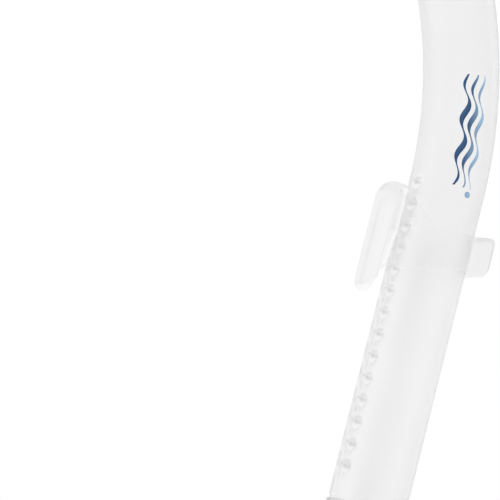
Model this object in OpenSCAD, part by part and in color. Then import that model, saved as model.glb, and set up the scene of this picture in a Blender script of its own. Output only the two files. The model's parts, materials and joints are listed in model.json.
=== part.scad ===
// Dry-top swimming snorkel: a clear contoured barrel with a ratchet row of studs and a sliding
// strap keeper, a float valve on top, and a purge chamber with a soft mouthpiece below.
//
// Frame: +Z runs up along the straight part of the barrel. The barrel's bend, the keeper's hook
// and the mouthpiece all point to -X, towards the wearer's head. The origin is the point between
// the wearer's teeth, in the middle of the bite wings.

/* [Barrel] */
// Outside diameter of the barrel
tube_d = 24; // [23.6:0.1:24.2]
// Wall of the barrel
tube_wall = 1.5; // [1.2:0.1:1.8]
// Straight length from the coupling's rim to the start of the bend
straight_len = 102; // [99:0.5:106]
// Radius of the bend, to the barrel's axis
bend_r = 163.5; // [145:0.5:175]
// Angle of the bend
bend_deg = 42; // [30:1:50]
// Straight length above the bend
top_len = 48; // [48:1:60]

/* [Ratchet studs and rail] */
// Number of studs in each row
stud_count = 14; // [10:1:14]
// Distance from one stud to the next
stud_pitch = 7; // [6.8:0.1:7]
// Diameter of a stud at the barrel's surface
stud_d = 4.6; // [4:0.1:5]
// Height of a stud above the barrel's surface
stud_h = 1; // [0.7:0.1:1.1]
// Angle from -X to each row of studs
stud_deg = 35; // [34:0.5:40]
// Height of the lowest stud above the coupling's rim
stud_first = 10.2; // [9:0.2:12]
// Width of the keeper's guide rail
rail_w = 11; // [9:0.5:11]
// Height of the rail above the barrel's surface
rail_h = 0.5; // [0.4:0.05:0.9]

/* [Strap keeper] */
// Height of the keeper above the coupling's rim
keeper_up = 75.6; // [73:0.2:77]
// Outside radius of the keeper's ring
ring_r = 14.4; // [14.2:0.1:14.6]
// Inside radius of the hook's leg
leg_in_r = 18.8; // [18.6:0.1:19]
// Outside radius of the hook's leg
leg_out_r = 21.1; // [20.8:0.1:21.6]
// Half the width of the hook's leg
leg_half_w = 12; // [10:0.5:12]
// How far the pull lug reaches from the barrel's axis
lug_reach = 18.6; // [18:0.1:20]
// Half the width of the pull lug
lug_half_w = 6; // [5:0.5:7]

/* [Float valve] */
// Distance from the barrel's axis to the float's axis
float_x = 26.5; // [26.5:0.5:30]
// Radius of the float
float_r = 8.8; // [8:0.1:9]
// Length of the float
float_len = 20; // [18:1:20]
// Travel of the float from open to closed
float_travel = 7; // [5:0.5:7]

/* [Lower assembly] */
// Distance from the wearer's teeth to the barrel's axis
mouth_reach = 66; // [62:1:72]
// Height of the coupling's rim above the mouthpiece's axis
rim_z = 42; // [42:0.5:44]
// Outside radius of the purge chamber
chamber_r = 17; // [16.8:0.1:17.4]
// Outside radius of the chamber's mouthpiece port
port_r = 12.5; // [12:0.1:12.6]

/* [Mouthpiece] */
// Width of the lip shield
shield_w = 60; // [52:1:64]
// Height of the lip shield
shield_h = 36; // [32:1:40]
// Radius that the shield is curved to
shield_bend_r = 42; // [40:1:48]

/* [Hidden] */
$fn = 96;

slack = 0.3;    // between faces that move past each other
fit = 0.06;     // radial clearance of a shaft in its hole, and of pieces pushed together
cut = 1;        // how far a cutter runs past the face it cuts

tube_r = tube_d / 2;
bore_r = tube_r - tube_wall;
bend_z = rim_z + straight_len;
spigot_z = rim_z - 20;          // lower end of the barrel, inside its socket
bead_r = 13.7;                  // the bead that keeps the barrel in its socket
bead_z = 29.1;
bead_h = 1.9;

keeper_z = rim_z + keeper_up;
keeper_slope = tan(10);         // the ring rises towards the pull lug
keeper_bore_r = tube_r + slack;
relief_shift = 0.6;             // the bore is wider on the side of the studs
leg_low = -9.6;
leg_top = 23.4;
leg_tip_r = 2.4;                // rounding of the leg's lower end, seen from the side
slot_top = 19;
arch_corner_r = 3.8;

valve_r = 14.2;                 // outside of the air duct's round ends
valve_socket_r = 13.8;
valve_socket_len = 16;
band_len = 30;
duct_wall = 1.8;
duct_floor = 2;
duct_h = 13;
seat_hole_r = 6.6;
seat_lip_z = -2.3;
seal_h = 1.5;
seal_gap = 0.1;                 // left between the seal and its seat when the valve is closed
float_top = seat_lip_z - seal_gap - float_travel - seal_h;
float_low = float_top - float_len;
cage_in_r = 9.6;
cage_out_r = 11.4;
cage_low = float_low - seal_gap - 2;

socket_r = 15.6;
socket_top = rim_z - 6.5;
socket_floor = 27;
cavity_r = chamber_r - 2;
chamber_low = -29.5;
chamber_shoulder = 16;
flange_r = 18.6;
port_in_r = 10.5;
port_end = mouth_reach - 36;    // where the port ends, from the origin
port_grip = 14;                 // how far the mouthpiece's neck reaches over the port
neck_r = port_r + 2;
cover_r = 20.2;
cover_low = -38;
seat_r = cavity_r - fit / 2;
seat_h = 3;
diaphragm_r = 13.2;
diaphragm_gap = 0.1;
diaphragm_t = 0.9;
stem_r = 1.1;
shield_x = 12;                  // outer face of the lip shield, from the origin
shield_t = 2;

// Points on an arc about [x, y], from angle a to angle b in n steps.
function arc(x, y, r, a, b, n = 8) =
    [for (i = [0 : n]) let (t = a + (b - a) * i / n) [x + r * cos(t), y + r * sin(t)]];

// A long outline with round ends of radius r, from x = 0 to x = length.
function stadium(length, r) = concat(arc(length, 0, r, -90, 90, 24), arc(0, 0, r, 90, 270, 24));

// A rectangle about the origin with rounded corners.
function rounded(w, h, r, n = 6) = concat(
    arc(w / 2 - r, h / 2 - r, r, 0, 90, n), arc(r - w / 2, h / 2 - r, r, 90, 180, n),
    arc(r - w / 2, r - h / 2, r, 180, 270, n), arc(w / 2 - r, r - h / 2, r, 270, 360, n));

// The keeper's ring seen from the side: its lower edge and its upper edge, which sweeps up to the hook.
function ring_low(x) = -0.2 + keeper_slope * x;
function ring_high(x) =
    min(leg_top - 0.4, 11.4 + keeper_slope * x + 0.27 * pow(max(0, 2 - x), 1.5));

module on_barrel() {
    translate([mouth_reach, 0, 0]) children();
}

module on_keeper() {
    on_barrel() translate([0, 0, keeper_z]) children();
}

// The frame of the barrel's top end: +Z out of the end, +X away from the wearer's head.
module on_top() {
    on_barrel()
        translate([-bend_r, 0, bend_z])
        rotate([0, -bend_deg, 0])
        translate([bend_r, 0, top_len])
        children();
}

// Turns the drawing plane upright: its x along X, its y along Z, extruded to w each side of Y = 0.
module side_prism(w) {
    rotate([90, 0, 0]) linear_extrude(height = 2 * w, center = true) children();
}

// A ring about Z, from z = low to z = high.
module pipe(r_out, r_in, low, high) {
    difference() {
        translate([0, 0, low]) cylinder(r = r_out, h = high - low);
        translate([0, 0, low - cut]) cylinder(r = r_in, h = high - low + 2 * cut);
    }
}

// A rod of the barrel's path, longer by extra at both ends.
module barrel_path(r, extra = 0) {
    translate([0, 0, spigot_z - extra]) cylinder(r = r, h = bend_z - spigot_z + extra);
    translate([-bend_r, 0, bend_z]) rotate([90, 0, 0])
        rotate_extrude(angle = bend_deg, $fn = 240) translate([bend_r, 0]) circle(r = r);
    translate([-bend_r, 0, bend_z]) rotate([0, -bend_deg, 0]) translate([bend_r, 0, 0])
        cylinder(r = r, h = top_len + extra);
}

module studs() {
    cap_r = (pow(stud_d / 2, 2) + pow(stud_h, 2)) / (2 * stud_h);
    for (i = [0 : stud_count - 1], side = [-1, 1])
        rotate([0, 0, 180 + side * stud_deg])
            translate([tube_r + stud_h - cap_r, 0, rim_z + stud_first + i * stud_pitch])
            sphere(r = cap_r, $fn = 48);
}

module rail() {
    intersection() {
        translate([0, 0, rim_z + 1]) cylinder(r = tube_r + rail_h, h = keeper_up + 4);
        translate([-tube_r - 5, -rail_w / 2, rim_z]) cube([8, rail_w, keeper_up + 10]);
    }
}

module barrel_tube() {
    color("whitesmoke") on_barrel() difference() {
        union() {
            barrel_path(tube_r);
            rail();
            studs();
            translate([0, 0, bead_z]) cylinder(r = bead_r, h = bead_h);
        }
        barrel_path(bore_r, cut);
    }
}

module visibility_band() {
    color("gold") on_top()
        pipe(tube_r + 0.6, tube_r + fit, -valve_socket_len - band_len - 1, -valve_socket_len - 1);
}

module keeper_ring_outline() {
    x_left = -ring_r - 1;
    steps = 24;
    polygon(concat(
        [[x_left, ring_low(x_left)], [ring_r + 1, ring_low(ring_r + 1)]],
        [for (i = [0 : steps]) let (x = ring_r + 1 + (x_left - ring_r - 1) * i / steps)
            [x, ring_high(x)]]));
}

// The leg hangs from the arch; the strap goes in behind it from below.
module keeper_leg_outline() {
    leg_x = -12;
    polygon(concat(
        arc(leg_tip_r - leg_out_r, leg_low + leg_tip_r, leg_tip_r, 180, 270, 6),
        [[leg_x, leg_low], [leg_x, leg_top - 6]],
        arc(-leg_out_r + arch_corner_r, leg_top - 2 - arch_corner_r, arch_corner_r, 90, 180, 8)));
}

// The leg seen from the wearer's side: a tongue with round corners.
module keeper_tongue() {
    height = 50;
    rotate([90, 0, -90]) linear_extrude(height = 40)
        translate([0, leg_low + height / 2]) polygon(rounded(2 * leg_half_w, height, 4));
}

// The arch joins the leg to the ring over the top of the strap slot.
module keeper_arch_outline() {
    slot_mid = -(ring_r + leg_in_r) / 2;
    slot_r = (leg_in_r - ring_r) / 2;
    arch_low = 8;
    arch_x = -9;
    polygon(concat(
        [[-leg_out_r, arch_low], [-leg_in_r, arch_low]],
        arc(slot_mid, slot_top - slot_r, slot_r, 180, 0, 10),
        [[-ring_r, arch_low], [arch_x, arch_low], [arch_x, ring_high(arch_x)]],
        arc(-14.4, leg_top - 3.4, 3.4, 40, 90, 5),
        arc(-leg_out_r + arch_corner_r, leg_top - arch_corner_r, arch_corner_r, 90, 180, 6)));
}

module keeper_lug() {
    lug_x = 6;
    intersection() {
        translate([0, 0, -5]) linear_extrude(height = 30)
            translate([(lug_reach + lug_x) / 2, 0])
            polygon(rounded(lug_reach - lug_x, 2 * lug_half_w, 1.6));
        side_prism(lug_half_w + 1) polygon(concat(
            [[lug_x, ring_low(lug_x)]],
            arc(lug_reach - 1.6, ring_low(lug_reach) + 1.9, 1.6, -80, 10, 6),
            arc(lug_reach - 1.6, ring_high(lug_reach) - 1.6, 1.6, 10, 100, 6),
            [[lug_x, ring_high(lug_x)]]));
    }
}

// Clears the barrel, its rail and its studs all the way along.
module keeper_bore() {
    translate([0, 0, -30]) cylinder(r = keeper_bore_r, h = 80);
    translate([-relief_shift, 0, -30]) cylinder(r = keeper_bore_r + relief_shift, h = 80);
}

module strap_keeper() {
    color("white") on_keeper() difference() {
        union() {
            intersection() {
                translate([0, 0, -20]) cylinder(r = ring_r, h = 60);
                side_prism(ring_r + 1) keeper_ring_outline();
            }
            intersection() {
                pipe(leg_out_r, leg_in_r, -20, 40);
                side_prism(leg_half_w) keeper_leg_outline();
                keeper_tongue();
            }
            intersection() {
                translate([0, 0, -20]) cylinder(r = leg_out_r, h = 60);
                side_prism(leg_half_w) keeper_arch_outline();
            }
            keeper_lug();
        }
        keeper_bore();
    }
}

module valve_body() {
    color("royalblue") on_top() difference() {
        union() {
            linear_extrude(height = duct_h) polygon(stadium(float_x, valve_r));
            translate([0, 0, -valve_socket_len]) cylinder(r = valve_socket_r, h = valve_socket_len + 1);
            translate([float_x, 0, seat_lip_z]) cylinder(r = seat_hole_r + 1.4, h = 1 - seat_lip_z);
        }
        translate([0, 0, -valve_socket_len - cut])
            cylinder(r = tube_r + fit, h = valve_socket_len + cut);
        translate([0, 0, duct_floor]) linear_extrude(height = duct_h)
            polygon(stadium(float_x, valve_r - duct_wall));
        translate([0, 0, -cut]) cylinder(r = bore_r, h = duct_floor + 2 * cut);
        translate([float_x, 0, seat_lip_z - cut]) cylinder(r = seat_hole_r, h = 6);
    }
}

module valve_cap() {
    spigot_r = valve_r - duct_wall - fit;
    color("royalblue") on_top() translate([0, 0, duct_h]) {
        linear_extrude(height = 1.2) polygon(stadium(float_x, valve_r));
        translate([0, 0, 1.2]) linear_extrude(height = 0.8) polygon(stadium(float_x, valve_r - 0.8));
        translate([0, 0, -2.5]) linear_extrude(height = 2.5) difference() {
            polygon(stadium(float_x, spigot_r));
            polygon(stadium(float_x, spigot_r - 1.2));
        }
    }
}

module float_cage() {
    window_low = float_low + 1;
    window_h = float_len + 3;
    color("royalblue") on_top() difference() {
        translate([float_x, 0, 0]) difference() {
            union() {
                translate([0, 0, cage_low]) cylinder(r = cage_out_r, h = -cage_low);
                translate([0, 0, -2.5]) cylinder(r = valve_r - 1, h = 2.5);
            }
            translate([0, 0, cage_low + 2]) cylinder(r = cage_in_r, h = 60);
            for (i = [0 : 5])
                rotate([0, 0, 30 + i * 60]) translate([6, -2.4, window_low])
                    cube([10, 4.8, window_h]);
            translate([0, 0, cage_low - cut]) cylinder(r = 2.2, h = 4);
            for (i = [0 : 5])
                rotate([0, 0, i * 60]) translate([6, 0, cage_low - cut]) cylinder(r = 1.8, h = 4);
        }
        translate([0, 0, -10]) cylinder(r = valve_socket_r + slack, h = 20);
    }
}

module float() {
    color("orange") on_top() translate([float_x, 0, float_low]) {
        cylinder(r = float_r - 0.8, h = 1);
        translate([0, 0, 1]) cylinder(r = float_r, h = float_len - 2);
        translate([0, 0, float_len - 1]) cylinder(r = float_r - 0.8, h = 1);
    }
}

module float_seal() {
    color("lightgray") on_top() translate([float_x, 0, float_top])
        cylinder(r = float_r - 0.6, h = seal_h);
}

// A slim collar round the barrel, which flares into the skirt that grips the socket.
module coupling_ring() {
    sleeve_in = tube_r + slack;
    sleeve_out = 13.8;
    sleeve_low = bead_z + bead_h + slack;
    collar_r = 12.9;
    skirt_in = socket_r + fit;
    skirt_out = 17.2;
    skirt_low = 28;
    shoulder_z = socket_top + 1.6;
    flare_r = skirt_out - 1.5 - collar_r;
    color("whitesmoke") on_barrel() {
        rotate_extrude() polygon(concat(
            [[sleeve_in, sleeve_low], [sleeve_out, sleeve_low], [sleeve_out, socket_top + fit],
             [skirt_in, socket_top + fit], [skirt_in, skirt_low], [skirt_out, skirt_low]],
            arc(skirt_out - 1.5, shoulder_z - 1.5, 1.5, 0, 90, 6),
            arc(collar_r + flare_r, shoulder_z + flare_r, flare_r, 270, 180, 8),
            [[collar_r, rim_z - 0.2], [collar_r - 0.2, rim_z], [sleeve_in, rim_z]]));
        for (i = [0 : 23])
            rotate([0, 0, i * 15]) translate([skirt_out - 0.1, 0, skirt_low])
                cylinder(r = 0.6, h = 6, $fn = 16);
    }
}

module barrel_seal() {
    color("dimgray") on_barrel() translate([0, 0, socket_floor + 1.05])
        rotate_extrude() translate([tube_r + 1.03, 0]) circle(r = 0.95, $fn = 32);
}

module chamber_cavity() {
    rotate_extrude() polygon([
        [0, chamber_low - cut], [cavity_r, chamber_low - cut], [cavity_r, chamber_shoulder - 1],
        [tube_r + fit, spigot_z - 1], [tube_r + fit, socket_floor], [bead_r + slack, socket_floor],
        [bead_r + slack, socket_top + cut], [0, socket_top + cut]]);
}

module purge_chamber() {
    color("aliceblue") on_barrel() difference() {
        union() {
            rotate_extrude() polygon(concat(
                [[0, chamber_low], [flange_r, chamber_low], [flange_r, chamber_low + 2.4],
                 [chamber_r, chamber_low + 2.4]],
                arc(chamber_r - 4, chamber_shoulder, 4, 0, 70, 6),
                [[socket_r, chamber_shoulder + 4], [socket_r, socket_top], [0, socket_top]]));
            rotate([0, -90, 0]) cylinder(r = port_r, h = mouth_reach - port_end);
        }
        chamber_cavity();
        rotate([0, -90, 0]) cylinder(r = port_in_r, h = mouth_reach - port_end + cut);
    }
}

module purge_seat() {
    hub_r = 3;
    color("white") on_barrel() translate([0, 0, chamber_low]) difference() {
        union() {
            pipe(seat_r, diaphragm_r - 2, 0, seat_h);
            cylinder(r = hub_r, h = seat_h);
            for (i = [0 : 2])
                rotate([0, 0, i * 60]) translate([-diaphragm_r + 1, -0.8, 0.4])
                    cube([2 * diaphragm_r - 2, 1.6, seat_h - 0.8]);
        }
        translate([0, 0, -cut]) cylinder(r = stem_r + fit, h = seat_h + 2 * cut);
    }
}

module purge_diaphragm() {
    top = chamber_low - diaphragm_gap;
    color("lightblue") on_barrel() {
        translate([0, 0, top - diaphragm_t]) cylinder(r = diaphragm_r, h = diaphragm_t);
        translate([0, 0, top - diaphragm_t]) cylinder(r = stem_r, h = seat_h + 4);
        translate([0, 0, top - diaphragm_t + seat_h + 3]) cylinder(r = stem_r + 0.8, h = 2);
    }
}

module purge_cover() {
    lip_top = chamber_low + 4;
    floor_t = 1.6;
    color("royalblue") on_barrel() difference() {
        rotate_extrude() polygon(concat(
            [[0, cover_low]],
            arc(cover_r - 2.5, cover_low + 2.5, 2.5, -90, 0, 6),
            [[cover_r, lip_top - 0.8], [cover_r - 0.8, lip_top], [chamber_r + fit, lip_top],
             [chamber_r + fit, chamber_low + 2.6], [flange_r + fit, chamber_low + 2.6],
             [flange_r + fit, cover_low + 3], [cover_r - 3.4, cover_low + floor_t],
             [0, cover_low + floor_t]]));
        for (i = [0 : 11])
            rotate([0, 0, 15 + i * 30]) translate([cover_r - 5, -1.6, cover_low + 3.2])
                cube([10, 3.2, 4.6]);
        for (i = [0 : 5])
            rotate([0, 0, i * 60]) translate([0, 0, cover_low - cut])
                linear_extrude(height = 4) translate([10, 0]) polygon(rounded(9, 2.6, 1.2));
        translate([0, 0, cover_low - cut]) cylinder(r = 2.2, h = 4);
    }
}

// The mouthpiece's airway: round over the port, then a wide slot between the teeth.
module mouthpiece_airway() {
    slot_end = shield_x + 7;
    rotate([0, 90, 0]) translate([0, 0, port_end - fit]) cylinder(r = port_r + fit, h = 30);
    rotate([0, 90, 0]) translate([0, 0, slot_end - 1]) cylinder(r = port_in_r - 0.5, h = 20);
    rotate([90, 0, 90]) linear_extrude(height = slot_end) polygon(rounded(24, 13, 6.4));
}

// The neck ends on the shield, so that nothing of it stands inside the lips.
module neck() {
    difference() {
        rotate([0, 90, 0]) cylinder(r = neck_r, h = port_end + port_grip);
        translate([shield_x - shield_bend_r, 0, -20]) cylinder(r = shield_bend_r - 1, h = 40);
    }
}

module lip_shield() {
    intersection() {
        translate([shield_x - shield_bend_r, 0, 0])
            pipe(shield_bend_r, shield_bend_r - shield_t, -30, 30);
        rotate([90, 0, 90]) translate([0, 0, -20]) linear_extrude(height = 40)
            polygon(rounded(shield_w, shield_h, 14, 10));
    }
}

// A wing for the teeth on each side, with a lug along its inner end.
module bite_wings() {
    wing_r = shield_bend_r - shield_t + 0.5;
    for (side = [-1, 1]) intersection() {
        translate([shield_x - shield_bend_r, 0, 0]) union() {
            pipe(wing_r, 27, -1.6, 1.6);
            pipe(29.2, 27, -5, 5);
            pipe(wing_r, wing_r - 2.5, -4, 4);
        }
        translate([-14, side * 19.5 - 6, -6]) cube([24, 12, 12]);
    }
}

module mouthpiece() {
    color("lightblue") difference() {
        union() {
            neck();
            lip_shield();
            bite_wings();
        }
        mouthpiece_airway();
    }
}

module mouthpiece_tie() {
    tie_x = port_end + 5;
    color("royalblue") rotate([0, 90, 0]) translate([0, 0, tie_x]) {
        pipe(neck_r + 1.3, neck_r + fit, 0, 4.6);
        translate([-2.8, neck_r + 0.9, -0.6]) cube([5.6, 3, 5.8]);
    }
}

barrel_tube();
visibility_band();
strap_keeper();
valve_body();
valve_cap();
float_cage();
float();
float_seal();
coupling_ring();
barrel_seal();
purge_chamber();
purge_seat();
purge_diaphragm();
purge_cover();
mouthpiece();
mouthpiece_tie();
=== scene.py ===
"""A clear dry-top snorkel, held in the air over a pale studio floor."""

import json
import math

import bmesh
import bpy
from mathutils import Matrix, Vector


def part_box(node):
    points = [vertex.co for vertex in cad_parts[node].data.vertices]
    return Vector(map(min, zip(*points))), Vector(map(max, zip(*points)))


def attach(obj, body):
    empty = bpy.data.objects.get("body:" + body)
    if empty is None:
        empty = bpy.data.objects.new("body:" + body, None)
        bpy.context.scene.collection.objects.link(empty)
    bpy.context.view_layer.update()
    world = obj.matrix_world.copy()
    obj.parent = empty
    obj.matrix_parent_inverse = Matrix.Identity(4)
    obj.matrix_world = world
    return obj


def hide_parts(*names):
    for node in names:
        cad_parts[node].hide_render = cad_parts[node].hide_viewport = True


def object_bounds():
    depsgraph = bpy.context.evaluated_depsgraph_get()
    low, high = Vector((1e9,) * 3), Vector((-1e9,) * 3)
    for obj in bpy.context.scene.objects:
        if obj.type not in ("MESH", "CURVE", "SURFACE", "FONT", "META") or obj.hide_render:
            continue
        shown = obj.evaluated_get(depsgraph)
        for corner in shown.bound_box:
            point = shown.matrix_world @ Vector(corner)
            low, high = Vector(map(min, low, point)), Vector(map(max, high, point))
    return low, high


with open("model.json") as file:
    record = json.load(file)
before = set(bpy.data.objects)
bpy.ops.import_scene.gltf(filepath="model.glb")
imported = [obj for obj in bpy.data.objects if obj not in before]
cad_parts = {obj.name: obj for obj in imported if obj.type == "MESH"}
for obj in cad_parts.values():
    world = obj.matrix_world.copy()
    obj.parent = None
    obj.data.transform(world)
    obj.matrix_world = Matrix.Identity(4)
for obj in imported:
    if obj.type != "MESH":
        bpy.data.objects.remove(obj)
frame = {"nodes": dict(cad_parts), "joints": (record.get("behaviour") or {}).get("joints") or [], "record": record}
cad_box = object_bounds()

MM = 0.001

# Driving dimensions of the barrel, as the CAD model has them.
TUBE_R = 12 * MM
BORE_R = 10.5 * MM
STRAIGHT_LEN = 102 * MM
BEND_R = 163.5 * MM
TOP_LEN = 48 * MM
SPIGOT_DEPTH = 20 * MM
BEAD_R, BEAD_DROP, BEAD_H = 13.7 * MM, 12.9 * MM, 1.9 * MM
STUD_COUNT, STUD_PITCH, STUD_FIRST = 14, 7 * MM, 10.2 * MM
STUD_R, STUD_H, STUD_DEG = 2.3 * MM, 1.0 * MM, 35.0
RAIL_H, RAIL_HALF_W, RAIL_TOP = 0.5 * MM, 5.5 * MM, 80.6 * MM

# Places taken from the frame.
joints = {j["name"]: j for j in frame["joints"]}
AXIS_X = joints["barrel_swivel"]["pos_m"][0]
RIM_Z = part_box("coupling_ring")[1].z
BEND_Z = RIM_Z + STRAIGHT_LEN
BEND = math.asin(-joints["float_lift"]["axis"][0])
BEND_LEN = BEND_R * BEND
BARREL_LOW = RIM_Z - SPIGOT_DEPTH
BARREL_END = BEND_Z + BEND_LEN + TOP_LEN


# ---------------------------------------------------------------- helpers

WELD = 0.002 * MM       # points nearer to each other than this become one


def smoothstep(x):
    """0 below 0, 1 above 1 and a smooth slope between them."""
    x = max(0.0, min(1.0, x))
    return x * x * (3 - 2 * x)


def bell(x, middle, width):
    """1 at the middle, falling off smoothly to both sides."""
    return math.exp(-((x - middle) / width) ** 2)


def arc_points(x, y, r, start, end, steps):
    """Points of an arc about (x, y), from one angle in degrees to another."""
    turns = [math.radians(start + (end - start) * i / steps) for i in range(steps + 1)]
    return [(x + r * math.cos(t), y + r * math.sin(t)) for t in turns]


def bmesh_from(verts, faces):
    mesh = bpy.data.meshes.new("skin")
    mesh.from_pydata([tuple(v) for v in verts], [], faces)
    bm = bmesh.new()
    bm.from_mesh(mesh)
    bpy.data.meshes.remove(mesh)
    return bm


def object_from(bm, name):
    """A smooth-shaded object in the scene."""
    mesh = bpy.data.meshes.new(name)
    bm.to_mesh(mesh)
    bm.free()
    for p in mesh.polygons:
        p.use_smooth = True
    ob = bpy.data.objects.new(name, mesh)
    bpy.context.scene.collection.objects.link(ob)
    return ob


def mesh_object(name, verts, faces):
    bm = bmesh_from(verts, faces)
    bmesh.ops.recalc_face_normals(bm, faces=bm.faces)
    return object_from(bm, name)


def ring_grid(rings):
    """Faces of a closed skin through a closed loop of rings, all with the same number of points."""
    verts = [v for ring in rings for v in ring]
    n, faces = len(rings[0]), []
    for i in range(len(rings)):
        a, b = i * n, ((i + 1) % len(rings)) * n
        faces += [(a + j, a + (j + 1) % n, b + (j + 1) % n, b + j) for j in range(n)]
    return verts, faces


def welded(node):
    """A bmesh of a CAD node's skin, closed, with its flat faces whole again."""
    source = frame["nodes"][node].data
    bm = bmesh_from([v.co for v in source.vertices], [list(p.vertices) for p in source.polygons])
    bmesh.ops.remove_doubles(bm, verts=bm.verts, dist=WELD)
    bmesh.ops.dissolve_limit(bm, angle_limit=math.radians(0.5), verts=bm.verts, edges=bm.edges)
    return bm


def set_values(ob, name, values):
    """Gives each point of a piece a value that its material reads."""
    ob.data.attributes.new(name, "FLOAT", "POINT").data.foreach_set("value", values)


def finish_piece(ob, node):
    """Puts a piece in the place of the CAD node that it stands for."""
    bodies, subparts = frame["record"]["behaviour"]["bodies"], frame["record"]["subparts"]
    ob.data.materials.append(NODE_MATERIALS[node])
    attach(ob, next(body for body, members in bodies.items() if node in members))
    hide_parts(node)


def rounded_piece(name, node, width):
    """A rigid moulding: the CAD shape with a radius on every edge."""
    bm = welded(node)
    sharp = [e for e in bm.edges
             if len(e.link_faces) == 2 and e.calc_face_angle() > math.radians(32)]
    bmesh.ops.bevel(bm, geom=sharp, offset=width * MM, offset_type="OFFSET", segments=3,
                    profile=0.5, affect="EDGES", clamp_overlap=False)
    bmesh.ops.remove_doubles(bm, verts=bm.verts, dist=WELD)
    bmesh.ops.recalc_face_normals(bm, faces=bm.faces)
    ob = object_from(bm, name)
    ob.data.set_sharp_from_angle(angle=math.radians(40))
    ob.modifiers.new("even_shading", "WEIGHTED_NORMAL").keep_sharp = True
    finish_piece(ob, node)


def soft_piece(name, node, voxel, passes, shape=None):
    """A soft moulding: the CAD shape remeshed finely and melted, then shaped further."""
    ob = object_from(welded(node), name)
    remesh = ob.modifiers.new("remesh", "REMESH")
    remesh.mode, remesh.voxel_size, remesh.use_smooth_shade = "VOXEL", voxel * MM, True
    melt = ob.modifiers.new("melt", "SMOOTH")
    melt.factor, melt.iterations = 0.5, passes
    melted = ob.evaluated_get(bpy.context.evaluated_depsgraph_get())
    mesh = bpy.data.meshes.new_from_object(melted)
    ob.modifiers.clear()
    ob.data = mesh
    if shape:
        for v in mesh.vertices:
            v.co = shape(v.co, v.normal)
    for p in mesh.polygons:
        p.use_smooth = True
    finish_piece(ob, node)
    return ob


def lathe(name, node, profile, turns, swell=None):
    """A turned piece: a closed profile of (radius, height) in mm about the barrel's straight
    axis, which swell(radius, height, angle) may move outwards."""
    rings = []
    for r, z in profile:
        ring = []
        for i in range(turns):
            t = 2 * math.pi * i / turns
            reach = (r + (swell(r, z, t) if swell else 0.0)) * MM
            ring.append((AXIS_X + reach * math.cos(t), reach * math.sin(t), z * MM))
        rings.append(ring)
    ob = mesh_object(name, *ring_grid(rings))
    ob.data.set_sharp_from_angle(angle=math.radians(50))
    finish_piece(ob, node)


# ---------------------------------------------------------------- materials

CLEAR_ROUGH = 0.36      # the haze of every clear part but the studs


def nodes_of(name):
    """A new material, its node tree and its main shader."""
    mat = bpy.data.materials.new(name)
    mat.use_nodes = True
    tree = mat.node_tree
    return mat, tree, tree.nodes["Principled BSDF"]


def add(tree, kind, **values):
    """A new shader node with some of its inputs or settings set."""
    node = tree.nodes.new(kind)
    for key, value in values.items():
        if key in node.inputs:
            node.inputs[key].default_value = value
        else:
            setattr(node, key, value)
    return node


def noise_over(tree, place, scale, detail):
    noise = add(tree, "ShaderNodeTexNoise", Scale=scale, Detail=detail)
    tree.links.new(place.outputs["Object"], noise.inputs["Vector"])
    return noise


def mapped(tree, source, **limits):
    """A value mapped from one range to another; a limit that isn't given is 0 or 1."""
    span = add(tree, "ShaderNodeMapRange")
    for key, value in limits.items():
        span.inputs[key.replace("_", " ").title()].default_value = value
    tree.links.new(source, span.inputs["Value"])
    return span.outputs["Result"]


def coloured(tree, source, shader, stops):
    """Colours a material by a value: stops are two places on its scale and their colours."""
    ramp = add(tree, "ShaderNodeValToRGB")
    for element, (position, colour) in zip(ramp.color_ramp.elements, stops):
        element.position, element.color = position, (*colour, 1)
    tree.links.new(source, ramp.inputs["Fac"])
    tree.links.new(ramp.outputs["Color"], shader.inputs["Base Color"])


def grain(tree, shader, scale, depth, rough, rough_spread):
    """Moulded surface: a fine bump and a roughness that wanders a little."""
    place = add(tree, "ShaderNodeTexCoord")
    noise = noise_over(tree, place, scale, 4.0)
    bump = add(tree, "ShaderNodeBump", Strength=0.3, Distance=depth)
    tree.links.new(noise.outputs["Fac"], bump.inputs["Height"])
    tree.links.new(bump.outputs["Normal"], shader.inputs["Normal"])
    wander = noise_over(tree, place, scale / 12, 3.0).outputs["Fac"]
    roughness = mapped(tree, wander, to_min=rough - rough_spread, to_max=rough + rough_spread)
    tree.links.new(roughness, shader.inputs["Roughness"])
    return wander


def clear_plastic(name, rough, ior, tint=(1, 1, 1), dimming=0.0):
    """Clear but hazy moulding. dimming is what a metre of it takes off, as an exponent."""
    mat, tree, shader = nodes_of(name)
    shader.inputs["Base Color"].default_value = (*tint, 1)
    shader.inputs["Transmission Weight"].default_value = 1.0
    shader.inputs["IOR"].default_value = ior
    grain(tree, shader, 900, 0.00001, rough, 0.04)
    if dimming:
        passed = 0.9
        volume = add(tree, "ShaderNodeVolumeAbsorption", Density=dimming / (1 - passed))
        volume.inputs["Color"].default_value = (passed, passed, passed, 1)
        tree.links.new(volume.outputs["Volume"], tree.nodes["Material Output"].inputs["Volume"])
    return mat


def toned(mat, cloud):
    """Takes a clear material's tint from the piece's tone attribute, with faint clouds over it; on the barrel and
    its studs that tone carries painted highlights and shade.
    """
    tree = mat.node_tree
    tone = add(tree, "ShaderNodeAttribute", attribute_name="tone")
    noise = noise_over(tree, add(tree, "ShaderNodeTexCoord"), 70.0, 3.0)
    clouds = mapped(tree, noise.outputs["Fac"], to_min=1 - cloud, to_max=1 + cloud)
    mixed = add(tree, "ShaderNodeMath", operation="MULTIPLY", use_clamp=True)
    tree.links.new(tone.outputs["Fac"], mixed.inputs[0])
    tree.links.new(clouds, mixed.inputs[1])
    tree.links.new(mixed.outputs["Value"], tree.nodes["Principled BSDF"].inputs["Base Color"])
    return mat


def solid_plastic(name, low, high, rough=0.38):
    """Opaque moulding whose colour wanders between two close ones."""
    mat, tree, shader = nodes_of(name)
    wander = grain(tree, shader, 2500, 0.00004, rough, 0.08)
    coloured(tree, wander, shader, ((0.3, low), (0.7, high)))
    return mat


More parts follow.
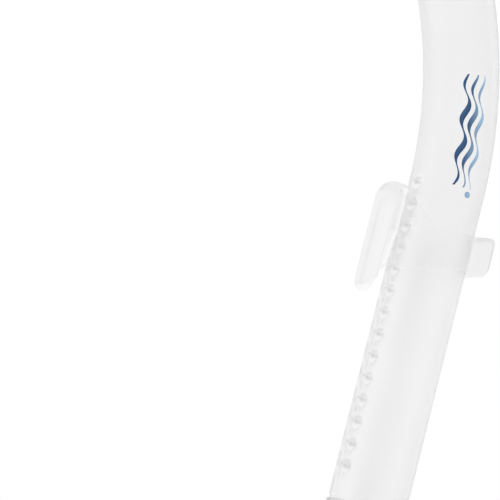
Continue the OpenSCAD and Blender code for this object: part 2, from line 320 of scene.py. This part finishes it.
def honeycombed(mat):
    """Small cells with raised edges, as on a reflective tape."""
    tree = mat.node_tree
    place = add(tree, "ShaderNodeTexCoord")
    cells = add(tree, "ShaderNodeTexVoronoi", feature="DISTANCE_TO_EDGE", Scale=420.0,
                Randomness=0.25)
    tree.links.new(place.outputs["Object"], cells.inputs["Vector"])
    edge = mapped(tree, cells.outputs["Distance"], from_max=0.12)
    bump = add(tree, "ShaderNodeBump", Strength=0.6, Distance=0.0003, invert=True)
    tree.links.new(edge, bump.inputs["Height"])
    tree.links.new(bump.outputs["Normal"], tree.nodes["Principled BSDF"].inputs["Normal"])
    return mat


def print_ink(name, dark, light):
    """Ink that fades from dark to light across the print."""
    mat, tree, shader = nodes_of(name)
    grain(tree, shader, 2500, 0.00001, 0.45, 0.08)
    place = add(tree, "ShaderNodeAttribute", attribute_name="across")
    fade = mapped(tree, place.outputs["Fac"], from_min=-1)
    coloured(tree, fade, shader, ((0.35, dark), (0.95, light)))
    return mat


CLEAR = clear_plastic("clear_plastic", CLEAR_ROUGH, 1.12, tint=(0.93, 0.93, 0.93))
# The barrel's and the studs' tint carries painted highlights and shade from the tone attribute.
BARREL = toned(clear_plastic("clear_barrel", CLEAR_ROUGH, 1.12), 0.02)
BARREL_STUD = toned(clear_plastic("clear_stud", 0.08, 1.5), 0.0)
CLEAR_SOFT = toned(clear_plastic("clear_elastomer", CLEAR_ROUGH, 1.025, dimming=2.2), 0.015)
CLEAR_RING = clear_plastic("clear_ring", CLEAR_ROUGH, 1.08, tint=(0.975, 0.975, 0.975))
SILICONE = clear_plastic("clear_silicone", CLEAR_ROUGH, 1.2, tint=(0.86, 0.93, 0.97), dimming=30)
BLUE = solid_plastic("blue_plastic", (0.012, 0.047, 0.126), (0.0135, 0.053, 0.14))
WHITE = solid_plastic("white_plastic", (0.78, 0.78, 0.77), (0.84, 0.84, 0.83))
FOAM = solid_plastic("float_foam", (0.75, 0.2, 0.03), (0.85, 0.26, 0.04), rough=0.6)
RUBBER = solid_plastic("seal_rubber", (0.015, 0.016, 0.018), (0.025, 0.026, 0.028), rough=0.6)
BAND = honeycombed(solid_plastic("bright_band", (0.62, 0.8, 0.025), (0.65, 0.83, 0.03), rough=0.4))
PRINT = print_ink("print_ink", (0.015, 0.075, 0.2), (0.36, 0.57, 0.8))

NODE_MATERIALS = {
    "barrel_tube": BARREL, "visibility_band": BAND, "strap_keeper": CLEAR_SOFT,
    "valve_body": BLUE, "valve_cap": BLUE, "float_cage": BLUE, "float": FOAM,
    "float_seal": RUBBER, "coupling_ring": CLEAR_RING, "barrel_seal": RUBBER,
    "purge_chamber": CLEAR, "purge_seat": WHITE, "purge_diaphragm": SILICONE,
    "purge_cover": BLUE, "mouthpiece": SILICONE, "mouthpiece_tie": BLUE,
}


# ---------------------------------------------------------------- mouldings

# Rigid mouldings: the piece, the CAD node it stands for, and the radius of its edges in mm.
RIGID_MOULDINGS = [
    ("band_sleeve", "visibility_band", 0.25), ("valve_housing", "valve_body", 0.5),
    ("valve_lid", "valve_cap", 0.35), ("cage", "float_cage", 0.3), ("float_body", "float", 0.35),
    ("float_washer", "float_seal", 0.3), ("chamber", "purge_chamber", 0.4),
    ("spoked_seat", "purge_seat", 0.2), ("chamber_cover", "purge_cover", 0.35),
    ("tie_strap", "mouthpiece_tie", 0.35),
]


def dress_nodes():
    """Materials for the CAD nodes. The barrel's seal is the only one that no piece stands for."""
    for node, mat in NODE_MATERIALS.items():
        ob = frame["nodes"][node]
        ob.data.materials.clear()
        ob.data.materials.append(mat)


def keeper_tone(co):
    """The outside of the thick leg and the lug are hazier than the ring."""
    clear, leg_haze, lug_haze = 0.99, 0.075, 0.11
    ring_r, leg_half_w, leg_x, lug_x, blend = 19.2, 10.5, -12, 11.8, 1.2
    x, y = (co.x - AXIS_X) / MM, abs(co.y) / MM
    outside = max(smoothstep((math.hypot(x, y) - ring_r) / blend), smoothstep(y - leg_half_w))
    leg, lug = smoothstep((leg_x - x) / blend), smoothstep((x - lug_x) / blend)
    return clear - leg_haze * outside * leg - lug_haze * lug


def mouthpiece_shape(co, normal):
    """Ribs round the neck and ridges on the bite wings."""
    neck_low, neck_high, neck_r, rib_pitch, rib_h = 15.5, 29.5, 12.8, 3.5, 0.45 * MM
    wing_reach, wing_low, wing_high, wing_half_t = 9, 12, 26, 2.2
    ridge_pitch, ridge_h = 2.4, 0.22 * MM
    x, y, z = co.x / MM, co.y / MM, co.z / MM
    out = Vector((0, co.y, co.z)).normalized()
    if neck_low < x < neck_high and math.hypot(y, z) > neck_r:
        swell = smoothstep((x - neck_low) / 2) * smoothstep((neck_high - x) / 2)
        return co + out * (rib_h * swell * math.cos((x - neck_low) * 2 * math.pi / rib_pitch))
    on_wing = x < wing_reach and wing_low < abs(y) < wing_high and abs(z) < wing_half_t
    if on_wing and abs(normal.z) > 0.7:
        return co + normal * (ridge_h * math.sin(y * 2 * math.pi / ridge_pitch))
    return co


def make_ring_nut():
    """The collar round the barrel and the ribbed skirt that grips the socket."""
    rim, low = RIM_Z / MM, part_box("coupling_ring")[0].z / MM
    bore, groove, socket, skirt = 12.3, 13.8, 15.66, 17.2
    shelf, shoulder = rim - 6.45, rim - 4.9
    rib_count, rib_h, rib_end = 24, 0.5, 6.4
    profile = [(bore, low + 3.2), (groove - 0.1, low + 3.2), (groove, low + 3.4), (groove, shelf)]
    profile += [(socket, shelf), (socket, low + 0.2), (socket + 0.2, low)]
    profile += [(skirt - 0.2, low), (skirt, low + 0.2)]
    profile += [(skirt, low + h) for h in (0.8, 1.6, 5.2, 6.0)]
    profile += arc_points(15.7, shoulder - 1.5, 1.5, 0, 90, 6)
    profile += arc_points(15.7, shoulder + 2.8, 2.8, 270, 180, 10)
    profile += [(12.9, rim - 0.35)] + arc_points(12.65, rim - 0.25, 0.25, 0, 90, 4)
    profile += [(12.5, rim), (bore, rim - 0.2)]

    def ribs(r, z, t):
        along = smoothstep((z - low) / 1.2) * smoothstep((low + rib_end - z) / 1.2)
        ridge = max(0.0, math.cos(rib_count * t)) ** 0.7
        return rib_h * along * ridge if r > skirt - 0.1 else 0.0

    lathe("ring_nut", "coupling_ring", profile, 384, ribs)


def make_diaphragm():
    """A thin valve disc with a raised rim, a hub and a barbed stem through the seat."""
    low, high = (corner.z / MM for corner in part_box("purge_diaphragm"))
    face, stem_r, barb_r = low + 0.9, 1.1, 1.9
    profile = [(0.001, low + 0.02), (2.4, low), (3.2, low + 0.1), (4.2, low + 0.35)]
    profile += [(11.6, low + 0.35), (12.4, low + 0.12), (13.0, low + 0.2), (13.2, low + 0.5)]
    profile += [(13.05, face - 0.02), (3.4, face), (stem_r + 0.25, face), (stem_r, face + 0.2)]
    profile += [(stem_r, high - 2.2), (stem_r + 0.1, high - 2.0), (barb_r, high - 1.7)]
    profile += [(barb_r, high - 1.4), (0.9, high - 0.1), (0.001, high)]
    lathe("valve_disc", "purge_diaphragm", profile, 72)


def make_mouldings():
    for name, node, width in RIGID_MOULDINGS:
        rounded_piece(name, node, width)
    keeper = soft_piece("keeper", "strap_keeper", 0.42, 12)
    set_values(keeper, "tone", [keeper_tone(v.co) for v in keeper.data.vertices])
    soft_piece("mouthpiece_skin", "mouthpiece", 0.5, 7, mouthpiece_shape)
    make_ring_nut()
    make_diaphragm()


# ---------------------------------------------------------------- barrel

# A point of the barrel's skin has a height s along the axis and an angle in degrees round from
# the side that faces the wearer.

PLAIN_TONE = 0.93


def barrel_frame(s):
    """Centre, direction along the barrel and direction away from the bend's centre at s."""
    bent = max(0.0, min(BEND_LEN, s - BEND_Z))
    angle = bent / BEND_R
    out = Vector((math.cos(angle), 0, math.sin(angle)))
    along = Vector((-math.sin(angle), 0, math.cos(angle)))
    if s <= BEND_Z:
        return Vector((AXIS_X, 0, s)), along, out
    centre = Vector((AXIS_X - BEND_R, 0, BEND_Z)) + out * BEND_R
    return centre + along * max(0.0, s - BEND_Z - BEND_LEN), along, out


def barrel_point(s, degrees, r):
    centre, _, out = barrel_frame(s)
    t = math.radians(degrees)
    return centre - out * (r * math.cos(t)) + Vector((0, -r * math.sin(t), 0))


def stud_place(s, degrees):
    """Where a point lies on its nearest stud, in stud radii: upwards and away from the rail."""
    i = max(0, min(STUD_COUNT - 1, round((s - RIM_Z - STUD_FIRST) / STUD_PITCH)))
    along = s - (RIM_Z + STUD_FIRST + i * STUD_PITCH)
    return along / STUD_R, math.radians(abs(degrees) - STUD_DEG) * TUBE_R / STUD_R


def stud_height(s, degrees):
    """How far a stud, a cap of a sphere, stands out of the barrel at a point."""
    cap_r = (STUD_R ** 2 + STUD_H ** 2) / (2 * STUD_H)
    v, u = stud_place(s, degrees)
    d2 = (u * u + v * v) * STUD_R ** 2
    return math.sqrt(cap_r ** 2 - d2) - (cap_r - STUD_H) if d2 < STUD_R ** 2 else 0.0


def rail_height(s, degrees):
    half = math.degrees(math.asin(RAIL_HALF_W / (TUBE_R + RAIL_H)))
    edge_deg, ramp = 0.9, 0.5 * MM
    side = smoothstep((half + edge_deg - abs(degrees)) / (2 * edge_deg))
    low = smoothstep((s - RIM_Z - 1 * MM) / ramp)
    high = smoothstep((RIM_Z + RAIL_TOP - s) / ramp)
    return RAIL_H * side * low * high


def stud_painted_light(s, degrees):
    """What a stud adds to the tint: painted shade in a dark wedge that slants across it and painted highlights in
    two bright crescents, in place of light bent by the stud.
    """
    reach, slope = 1.6, 0.25
    # Depth of the painted shade in the wedge and its tail, and strength of the two painted highlights.
    wedge_shade, tail_shade, upper_highlight, lower_highlight = 0.33, 0.17, 0.25, 0.4
    v, u = stud_place(s, degrees)
    away, slant = math.hypot(u, v), v + slope * u
    if away >= reach:
        return 0.0
    wedge = wedge_shade * bell(u, 0.42, 0.45) * bell(slant, 0.03, 0.3)
    tail = tail_shade * bell(slant, 0.05, 0.3)
    tail *= smoothstep((u + 1.5) / 0.4) * smoothstep((0.6 - u) / 0.4)
    upper = upper_highlight * bell(away, 0.7, 0.3) * smoothstep((v - 0.2) / 0.3)
    lower = lower_highlight * bell(away, 0.78, 0.2) * smoothstep((-v - 0.15) / 0.4)
    return upper + lower - wedge - tail


def barrel_tint_and_painted_light(s, degrees):
    """Tint of the outer skin: a painted highlight streak and a painted shade streak that end above the studs,
    painted lighter edges towards the wearer and away from them, and the studs' painted shade and highlights."""
    streak_end, streak_fade, streak_w = 96, 20, 13
    # Places, widths and strengths of the painted highlight streak and the painted shade streak.
    highlight_deg, shade_deg, highlight_gain, shade_loss = 122, 82, 0.04, 0.042
    front_deg, back_deg, darkest = 72, 130, 0.2
    along, a = (s - RIM_Z) / MM, abs(degrees)
    low = smoothstep((streak_end - along) / streak_fade)
    bright = bell(a, highlight_deg, streak_w) * low * (0.7 + 0.3 * math.sin(along / 19))
    dim = bell(a, shade_deg, streak_w) * low * (0.65 + 0.35 * math.sin(along / 13 + 2))
    tone = PLAIN_TONE + highlight_gain * bright - shade_loss * dim
    # Painted lighter edges towards the wearer and away from them, stronger on the lower part.
    tone += (0.02 + 0.035 * low) * smoothstep((front_deg - a) / 25)
    tone += (0.065 * low - 0.015) * smoothstep((a - back_deg) / 22)
    return max(darkest, min(1.0, tone + stud_painted_light(s, degrees)))


def barrel_angles():
    """Degrees round the barrel: fine over the studs and the rail's edges, coarser behind."""
    half = [0.0, 8.0, 16.0, 21.0, 22.5, 23.5, 24.3, 25.0, 25.7, 26.5, 27.4]
    half += [28.6 + 1.5 * i for i in range(14)]
    half += [52 + 6.0 * i for i in range(21)]
    return half + [180.0] + [-a for a in reversed(half[1:])]


def barrel_rows():
    """Heights and radii of the outer skin's rows, from the lower end up."""
    stud_row, bend_row, edge = 0.35 * MM, 1.6 * MM, 0.3 * MM
    bead = RIM_Z - BEAD_DROP
    rows = [(BARREL_LOW, TUBE_R - edge), (BARREL_LOW + edge, TUBE_R)]
    rows += [(bead, TUBE_R), (bead + 0.05 * MM, BEAD_R - edge), (bead + 0.35 * MM, BEAD_R)]
    rows += [(bead + BEAD_H - 0.35 * MM, BEAD_R), (bead + BEAD_H - 0.05 * MM, BEAD_R - edge)]
    rows += [(bead + BEAD_H, TUBE_R), (RIM_Z + 0.9 * MM, TUBE_R)]
    s = RIM_Z + 1 * MM
    while s < RIM_Z + STUD_FIRST + STUD_COUNT * STUD_PITCH:
        rows.append((s, TUBE_R))
        s += stud_row
    while s < BARREL_END - 0.4 * MM:
        rows.append((s, TUBE_R))
        s += bend_row
    rows += [(BARREL_END - edge, TUBE_R), (BARREL_END, TUBE_R - edge)]
    return rows


def bore_heights():
    """Heights of the inner skin's rows, from the top end down."""
    row = 3 * MM
    heights = [BARREL_END]
    while heights[-1] > BARREL_LOW + row:
        heights.append(heights[-1] - row)
    return heights + [BARREL_LOW]


def make_barrel():
    angles = barrel_angles()
    rings, raised, tones = [], [], []
    for s, r in barrel_rows():
        studs = [stud_height(s, a) if r == TUBE_R else 0.0 for a in angles]
        rails = [rail_height(s, a) if r == TUBE_R else 0.0 for a in angles]
        rings.append([barrel_point(s, a, r + max(h, k)) for a, h, k in zip(angles, studs, rails)])
        raised += [h > 0.0 for h in studs]
        # Tint of each point, with the painted highlight and shade streaks, painted lighter edges and the studs'
        # painted marks.
        tones += [barrel_tint_and_painted_light(s, a) for a in angles]
    for s in bore_heights():
        rings.append([barrel_point(s, a, BORE_R) for a in angles])
        raised += [False] * len(angles)
        tones += [PLAIN_TONE] * len(angles)
    ob = mesh_object("barrel", *ring_grid(rings))
    set_values(ob, "tone", tones)
    finish_piece(ob, "barrel_tube")
    ob.data.materials.append(BARREL_STUD)
    for p in ob.data.polygons:
        if all(raised[v] for v in p.vertices):
            p.material_index = 1


# ---------------------------------------------------------------- print on the barrel

PRINT_LOW, PRINT_HIGH = 102.5 * MM, 137.5 * MM      # above the coupling's rim
PRINT_MID_DEG, PRINT_HALF_W = 106.0, 3.75 * MM
PRINT_OVER, PRINT_UNDER = 0.05 * MM, -0.02 * MM     # its two faces, from the barrel's skin
WAVE_PITCH = 11.5 * MM
WAVES = [(-2.5, 0.95, 1.1, 0.0), (0.1, 0.95, 0.95, 0.9), (2.5, 0.9, 0.72, 1.8)]
DOT_DROP, DOT_ACROSS, DOT_R = 1.8 * MM, 2.9 * MM, 1.0 * MM


def print_point(s, across, lift):
    degrees = PRINT_MID_DEG + math.degrees(across / TUBE_R)
    return barrel_point(RIM_Z + s, degrees, TUBE_R + lift)


def flat_strip(verts, faces, values, rows):
    """Adds a thin closed strip through rows of (s, across, half width)."""
    corners = ((-1, PRINT_UNDER), (1, PRINT_UNDER), (1, PRINT_OVER), (-1, PRINT_OVER))
    base = len(verts)
    for s, across, half in rows:
        for side, lift in corners:
            verts.append(print_point(s, across + side * half, lift))
            values.append((across + side * half) / PRINT_HALF_W)
    for i in range(len(rows) - 1):
        a, b = base + 4 * i, base + 4 * i + 4
        faces += [(a + j, a + (j + 1) % 4, b + (j + 1) % 4, b + j) for j in range(4)]
    last = base + 4 * (len(rows) - 1)
    faces += [tuple(base + j for j in range(4)), tuple(last + j for j in range(4))]


def wave_rows(mid, swing, half, phase):
    """A wave that runs along the barrel, thick on its slopes to one side and thin on the other."""
    steps, rows = 120, []
    length = PRINT_HIGH - PRINT_LOW
    for i in range(steps + 1):
        t = i / steps
        turn = 2 * math.pi * t * length / WAVE_PITCH + phase
        taper = max(0.06, math.sin(math.pi * t)) ** 0.4
        rows.append((PRINT_LOW + t * length, mid + swing * math.sin(turn),
                     half * taper * (0.62 + 0.38 * math.cos(turn))))
    return rows


def disc_rows(s, across, r):
    """A round dot as a strip, narrow at both ends."""
    steps = 16
    turns = [math.pi * i / steps for i in range(steps + 1)]
    return [(s - r * math.cos(t), across, max(0.02 * MM, r * math.sin(t))) for t in turns]


def make_print():
    """Three waves, each with its middle, swing and half width in mm and its phase, and a dot."""
    verts, faces, values = [], [], []
    for mid, swing, half, phase in WAVES:
        flat_strip(verts, faces, values, wave_rows(mid * MM, swing * MM, half * MM, phase))
    flat_strip(verts, faces, values, disc_rows(PRINT_LOW - DOT_DROP, DOT_ACROSS, DOT_R))
    ob = mesh_object("wave_print", verts, faces)
    set_values(ob, "across", values)
    ob.data.materials.append(PRINT)
    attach(ob, "barrel")


# ---------------------------------------------------------------- stage, light and camera

def make_stage():
    half, z = 30.0, cad_box[0].z - 4 * MM
    corners = [(-half, -half, z), (half, -half, z), (half, half, z), (-half, half, z)]
    ob = mesh_object("floor", corners, [(0, 1, 2, 3)])
    mat, _, shader = nodes_of("floor")
    shader.inputs["Base Color"].default_value = (0.86, 0.86, 0.86, 1)
    shader.inputs["Roughness"].default_value = 0.7
    ob.data.materials.append(mat)


def make_world():
    """White to the camera. To everything else it dims towards the side that the camera is on."""
    world = bpy.data.worlds.new("studio")
    bpy.context.scene.world = world
    world.use_nodes = True
    tree = world.node_tree
    place = add(tree, "ShaderNodeTexCoord")
    split = add(tree, "ShaderNodeSeparateXYZ")
    tree.links.new(place.outputs["Generated"], split.inputs["Vector"])
    ramp = add(tree, "ShaderNodeValToRGB")
    ramp.color_ramp.elements[0].color = (0.75, 0.75, 0.75, 1)
    tree.links.new(mapped(tree, split.outputs["Y"], from_min=-1, from_max=0.3), ramp.inputs["Fac"])
    path = add(tree, "ShaderNodeLightPath")
    mix = add(tree, "ShaderNodeMixRGB")
    mix.inputs["Color2"].default_value = (1, 1, 1, 1)
    tree.links.new(path.outputs["Is Camera Ray"], mix.inputs["Fac"])
    tree.links.new(ramp.outputs["Color"], mix.inputs["Color1"])
    tree.links.new(mix.outputs["Color"], tree.nodes["Background"].inputs["Color"])


def make_light(name, place, power, width):
    """A square lamp that points at the middle of the barrel."""
    data = bpy.data.lights.new(name, "AREA")
    data.energy, data.size = power, width
    ob = bpy.data.objects.new(name, data)
    ob.location = place
    aim = Vector((AXIS_X, 0, 0.14)) - Vector(place)
    ob.rotation_euler = aim.to_track_quat("-Z", "Y").to_euler()
    bpy.context.scene.collection.objects.link(ob)


def make_camera():
    """Looks side-on at the barrel from a little below, rolled so that the barrel leans right."""
    roll, rise = math.radians(14.55), math.radians(8)
    view_w, anchor_up = 156.05 * MM, 76.3 * MM
    shift_right, shift_up = -55.06 * MM, 6.24 * MM
    data = bpy.data.cameras.new("camera")
    data.lens, data.sensor_width = 200, 36
    back_off = view_w / 2 / (data.sensor_width / 2 / data.lens)
    ahead = Vector((0, math.cos(rise), math.sin(rise)))
    side = Vector((1, 0, 0))
    up = Vector((0, -math.sin(rise), math.cos(rise)))
    right = side * math.cos(roll) + up * math.sin(roll)
    top = up * math.cos(roll) - side * math.sin(roll)
    anchor = Vector((AXIS_X, 0, RIM_Z + anchor_up))
    centre = anchor + right * shift_right + top * shift_up
    ob = bpy.data.objects.new("camera", data)
    ob.rotation_mode = "QUATERNION"
    ob.rotation_quaternion = Matrix((right, top, -ahead)).transposed().to_quaternion()
    ob.location = centre - ahead * back_off
    data.clip_start, data.clip_end = 0.01, 50
    bpy.context.scene.collection.objects.link(ob)
    bpy.context.scene.camera = ob


bpy.context.scene.view_settings.view_transform = "Standard"
make_camera()
make_stage()
make_world()
make_light("key", (-0.9, -1.3, 1.2), 6, 0.9)
make_light("rim", (1.1, 0.9, 0.9), 0.5, 0.7)
dress_nodes()
make_mouldings()
make_barrel()
make_print()
